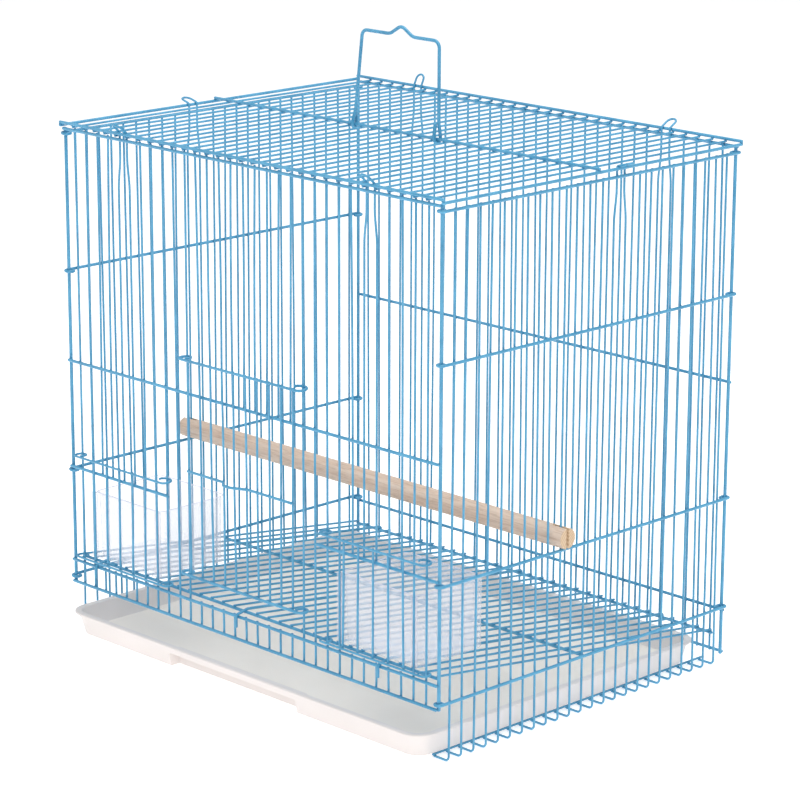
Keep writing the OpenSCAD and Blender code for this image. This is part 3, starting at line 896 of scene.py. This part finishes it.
def make_perch():
    lowest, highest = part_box("perch")
    centre = (lowest + highest) / 2
    radius = (highest.z - lowest.z) / 2
    clear_selection()
    bpy.ops.mesh.primitive_cylinder_add(
        vertices=64,
        radius=radius,
        depth=highest.x - lowest.x,
        location=centre,
        rotation=(0, math.pi / 2, 0),
    )
    piece = bpy.context.object
    settle(piece)
    slot_half = 1.0 * MM
    slot_deep = 10.4 * MM
    for x0, x1 in ((lowest.x - MM, lowest.x + slot_deep), (highest.x - slot_deep, highest.x + MM)):
        slot = block((x0, centre.y - slot_half, lowest.z - MM), (x1, centre.y + slot_half, highest.z + MM))
        cut(piece, slot)
    soften(piece, 0.35 * MM, 2, 40)
    close_up(piece, 40)
    put_on(piece, "perch_dowel", "perch", wood, ["perch"])
    piece.data.materials.append(sawn_wood)
    for face in piece.data.polygons:
        at_end = min(face.center.x - lowest.x, highest.x - face.center.x) < slot_deep + MM
        if abs(face.normal.x) > 0.8 or (at_end and abs(face.center.y - centre.y) < slot_half + 0.05 * MM):
            face.material_index = 1


make_perch()


# ---------------------------------------------------------------- cups


def round_upright_edges(piece, radius, segments):
    make_active(piece)
    bpy.ops.object.mode_set(mode="EDIT")
    bpy.ops.mesh.select_mode(type="EDGE")
    bpy.ops.mesh.select_all(action="DESELECT")
    bpy.ops.object.mode_set(mode="OBJECT")
    for edge in piece.data.edges:
        a, b = [piece.data.vertices[i].co for i in edge.vertices]
        edge.select = abs(a.z - b.z) > MM
    bpy.ops.object.mode_set(mode="EDIT")
    bpy.ops.mesh.bevel(offset=radius, segments=segments, affect="EDGES")
    bpy.ops.mesh.select_mode(type="FACE")
    bpy.ops.mesh.select_all(action="DESELECT")
    bpy.ops.object.mode_set(mode="OBJECT")


def make_cup(name, node, channel_ks):
    """A tapering hollow box with a wire channel up each front corner, open at the front."""
    lowest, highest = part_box(node)
    wall = 1.5 * MM
    channel_r, bore_r = 2.1 * MM, 0.95 * MM
    front = front_thin_y + thin_r + 0.4 * MM
    x0, x1 = [upright_x(k) for k in channel_ks]
    middle_x = (x0 + x1) / 2
    half = 30 * MM
    piece = block((middle_x - half, front, lowest.z), (middle_x + half, highest.y, highest.z))
    round_upright_edges(piece, 5 * MM, 6)
    for face in piece.data.polygons:
        face.select = face.normal.z > 0.9
    bpy.ops.object.mode_set(mode="EDIT")
    bpy.ops.mesh.inset(thickness=wall)
    bpy.ops.mesh.extrude_region_move(TRANSFORM_OT_translate={"value": (0, 0, lowest.z + wall - highest.z)})
    bpy.ops.transform.resize(value=(0.97, 0.97, 1))
    bpy.ops.object.mode_set(mode="OBJECT")
    for x in (x0, x1):
        clear_selection()
        bpy.ops.mesh.primitive_cylinder_add(
            vertices=32,
            radius=channel_r,
            depth=highest.z - lowest.z - 0.4 * MM,
            location=(x, front_thin_y, (lowest.z + highest.z) / 2),
        )
        tube = bpy.context.object
        settle(tube)
        cavity = block(
            (middle_x - half + wall, front + wall, lowest.z + wall),
            (middle_x + half - wall, highest.y - wall, highest.z + MM),
        )
        cut(tube, cavity)
        cut(piece, tube, "UNION")
    for x in (x0, x1):
        clear_selection()
        bpy.ops.mesh.primitive_cylinder_add(
            vertices=24,
            radius=bore_r,
            depth=highest.z - lowest.z + 4 * MM,
            location=(x, front_thin_y, (lowest.z + highest.z) / 2),
        )
        bore = bpy.context.object
        settle(bore)
        cut(piece, bore)
    ahead = block((lowest.x - 5 * MM, lowest.y - 9 * MM, lowest.z - MM), (highest.x + 5 * MM, lowest.y, highest.z + MM))
    cut(piece, ahead)
    soften(piece, 0.3 * MM, 2, 40)
    close_up(piece, 35)
    put_on(piece, name, node, clear, [node])
    piece.data.materials.append(clear_edge)
    for face in piece.data.polygons:
        sides = [piece.data.edges[piece.data.loops[i].edge_index].vertices for i in face.loop_indices]
        lengths = [(piece.data.vertices[a].co - piece.data.vertices[b].co).length for a, b in sides]
        rim = face.normal.z > 0.7 and face.center.z > highest.z - 0.4 * MM
        strip = min(lengths) < 0.4 * MM and max(lengths) > 2 * MM
        if rim or strip:
            face.material_index = 1


make_cup("left_clear_cup", "left_cup", (2, 8))
make_cup("right_clear_cup", "right_cup", (24, 30))


# ---------------------------------------------------------------- tray


def rounded_block(lowest, highest, radius, draft):
    """A box with round upright edges whose foot is drawn in by the draft."""
    piece = block(lowest, highest)
    round_upright_edges(piece, radius, 8)
    size = Vector(highest) - Vector(lowest)
    centre = (Vector(highest) + Vector(lowest)) / 2
    for vertex in piece.data.vertices:
        if vertex.co.z < centre.z:
            vertex.co.x = centre.x + (vertex.co.x - centre.x) * (1 - 2 * draft / size.x)
            vertex.co.y = centre.y + (vertex.co.y - centre.y) * (1 - 2 * draft / size.y)
    return piece


def make_tray():
    lowest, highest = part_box("tray")
    wall = 1.6 * MM
    lip = 2 * MM
    rim = 1.4 * MM
    draft = 3 * MM
    corner = 10 * MM
    edge = Vector((lip, lip, 0))
    piece = rounded_block(lowest + edge, highest - edge - UP * 0.2 * MM, corner, draft)
    flange = rounded_block(Vector((lowest.x, lowest.y, highest.z - rim)), highest, corner + lip, 0)
    cut(piece, flange, "UNION")
    inner = Vector((wall, wall, 0))
    cavity = rounded_block(
        lowest + edge + inner + UP * wall, highest - edge - inner + UP * 2 * MM, corner - wall, draft
    )
    pull_x0, pull_x1 = left_x + 92 * MM, left_x + 197 * MM
    pull_y = lowest.y + 11 * MM
    pull_z = 11 * MM
    step = block(
        (pull_x0 - wall, lowest.y, lowest.z),
        (pull_x1 + wall, pull_y + wall, pull_z + wall),
    )
    soften(step, 1.2 * MM, 3)
    cut(cavity, step)
    cut(piece, cavity)
    recess = block((pull_x0, lowest.y - MM, lowest.z - MM), (pull_x1, pull_y, pull_z))
    soften(recess, 1.0 * MM, 3)
    cut(piece, recess)
    soften(piece, 0.45 * MM, 3, 32)
    close_up(piece, 35)
    put_on(piece, "tray_moulding", "tray", tray_white, ["tray"])
    piece.data.materials.append(tray_floor_painted_light)
    # The inner floor's faces take the grained finish, whose paler colour and glow are painted light.
    for face in piece.data.polygons:
        if face.normal.z > 0.9 and face.center.z < lowest.z + wall + 0.5 * MM:
            face.material_index = 1


make_tray()


# ---------------------------------------------------------------- floor, light and camera


def area_light(name, place, target, size, power):
    light = bpy.data.lights.new(name, "AREA")
    light.shape = "RECTANGLE"
    light.size, light.size_y = size
    light.energy = power
    lamp = bpy.data.objects.new(name, light)
    bpy.context.scene.collection.objects.link(lamp)
    lamp.location = place
    lamp.rotation_euler = (Vector(target) - Vector(place)).to_track_quat("-Z", "Y").to_euler()


clear_selection()
bpy.ops.mesh.primitive_plane_add(size=60, location=(0, 0, 0))
ground = bpy.context.object
ground.name = "studio_floor"
settle(ground)
paper, _, _, paper_shader = new_material("studio_paper")
paper_shader.inputs["Base Color"].default_value = (0.94, 0.94, 0.945, 1)
paper_shader.inputs["Roughness"].default_value = 0.9
paper_shader.inputs["Specular IOR Level"].default_value = 0.1
paper_shader.inputs["Emission Color"].default_value = (1, 1, 1, 1)
paper_shader.inputs["Emission Strength"].default_value = 0.46
ground.data.materials.append(paper)

world = bpy.data.worlds.new("studio")
bpy.context.scene.world = world
world.use_nodes = True
world.node_tree.nodes["Background"].inputs["Color"].default_value = (1, 1, 1, 1)
world.node_tree.nodes["Background"].inputs["Strength"].default_value = 0.48

target = Vector((0, 0, 0.16))
area_light("key_softbox", (1.4, -1.5, 1.6), target, (1.2, 1.2), 12)
area_light("fill_softbox", (-1.6, -0.9, 1.1), target, (1.4, 1.4), 4)
area_light("top_softbox", (0.1, 0.3, 1.9), target, (1.6, 1.6), 24)

CAMERA_TURN = math.radians(45.327)
CAMERA_TILT = math.radians(15.138)
CAMERA_ROLL = math.radians(0.2187)
CAMERA_PLACE = Vector((left_x + 1399.36 * MM, front_y - 1116.29 * MM, 622.89 * MM))
camera_data = bpy.data.cameras.new("camera")
camera_data.lens = 143.2
camera_data.sensor_width = 36
camera_data.clip_end = 50
camera = bpy.data.objects.new("camera", camera_data)
bpy.context.scene.collection.objects.link(camera)
camera.location = CAMERA_PLACE
look = Euler((math.pi / 2 - CAMERA_TILT, 0, CAMERA_TURN), "XYZ").to_matrix()
roll = Euler((0, 0, CAMERA_ROLL), "XYZ").to_matrix()
camera.rotation_euler = (look @ roll).to_euler()
bpy.context.scene.camera = camera
bpy.context.scene.view_settings.view_transform = "Standard"
